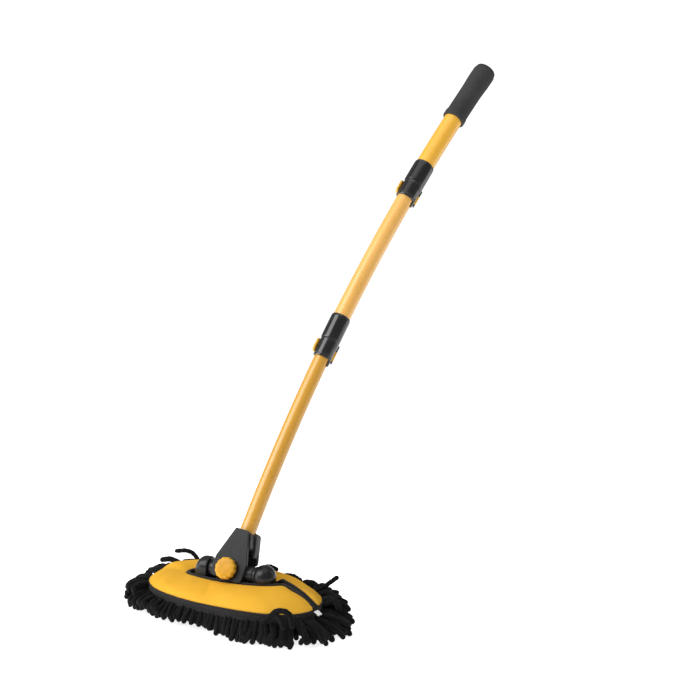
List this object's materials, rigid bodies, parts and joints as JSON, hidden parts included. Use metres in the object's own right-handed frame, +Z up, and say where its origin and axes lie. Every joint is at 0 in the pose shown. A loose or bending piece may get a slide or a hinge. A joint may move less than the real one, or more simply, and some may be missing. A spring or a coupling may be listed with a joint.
{
  "type": "chenille mop",
  "caption": "Oval chenille mop head with a padded cover and a two-axis swivel hub, on a bent three-section telescoping pole with flip locks and a foam grip.",
  "frame": {"origin": "centre of the flat sole at the finger tips, under the hub pivot's long-axis line", "axes": "+X along the pad's long side, +Y away from the user (the way the pole leans), +Z up"},
  "size_m": [0.3397, 0.4094, 0.6843],
  "materials": {
    "chenille": "matt microfibre chenille",
    "cover_fabric": "smooth knit over foam",
    "binding_fabric": "woven tape",
    "tag_fabric": "satin tape, blank",
    "sponge": "open-cell sponge",
    "black_plastic": "semi-gloss moulded",
    "yellow_plastic": "semi-gloss moulded",
    "pole_paint": "satin powder coat",
    "steel": "zinc plated",
    "foam": "closed-cell foam sleeve"
  },
  "bodies": {
    "head": {"chenille_pad": "chenille", "base_plate": "black_plastic", "sponge_core": "sponge", "pad_cover": "cover_fabric", "cover_band": "binding_fabric", "opening_binding": "binding_fabric", "care_tag": "tag_fabric", "left_pillow_block": "black_plastic", "right_pillow_block": "black_plastic", "trunnion_pins": "steel", "pillow_screws": "steel"},
    "knuckle": {"knuckle": "black_plastic"},
    "yoke": {"yoke_front_shell": "black_plastic", "yoke_rear_shell": "black_plastic", "yoke_screws": "steel", "pole_fixing_screw": "steel", "tilt_nut": "steel", "lower_tube": "pole_paint", "lower_guide_bush": "black_plastic"},
    "knob": {"tilt_knob": "yellow_plastic", "tilt_bolt": "steel"},
    "middle": {"middle_tube": "pole_paint", "middle_guide_bush": "black_plastic", "lower_lock_collar": "black_plastic", "lower_lock_pin": "steel"},
    "lower_lever": {"lower_lock_lever": "yellow_plastic"},
    "upper": {"upper_tube": "pole_paint", "upper_lock_collar": "black_plastic", "upper_lock_pin": "steel", "foam_grip": "foam", "grip_plug": "black_plastic"},
    "upper_lever": {"upper_lock_lever": "yellow_plastic"}
  },
  "joints": [
    {"name": "head_lean", "type": "hinge", "parent": "head", "child": "knuckle", "pos_m": [0, -0.002, 0.0505], "axis": [-1, 0, 0], "range_deg": [-6, 44]},
    {"name": "head_tilt", "type": "hinge", "parent": "knuckle", "child": "yoke", "pos_m": [0, -0.002, 0.0505], "axis": [0, 0.8813, -0.4726], "range_deg": [-24, 15]},
    {"name": "knob_turn", "type": "hinge", "parent": "yoke", "child": "knob", "pos_m": [0, -0.002, 0.0505], "axis": [0, -0.8813, 0.4726], "range_deg": [0, 270]},
    {"name": "lower_telescope", "type": "hinge", "parent": "yoke", "child": "middle", "pos_m": [2.67871, -0.16191, -0.24773], "axis": [0, 0.8813, -0.4726], "range_deg": [-4.35, 0]},
    {"name": "upper_telescope", "type": "hinge", "parent": "middle", "child": "upper", "pos_m": [2.67871, -0.16191, -0.24773], "axis": [0, 0.8813, -0.4726], "range_deg": [-2.55, 0]},
    {"name": "lower_lever_turn", "type": "hinge", "parent": "middle", "child": "lower_lever", "pos_m": [0.05628, 0.1415, 0.28894], "axis": [-0.2331, -0.4595, -0.857], "range_deg": [0, 110]},
    {"name": "upper_lever_turn", "type": "hinge", "parent": "upper", "child": "upper_lever", "pos_m": [0.12248, 0.25222, 0.49292], "axis": [-0.3192, -0.4478, -0.8352], "range_deg": [0, 110]}
  ]
}
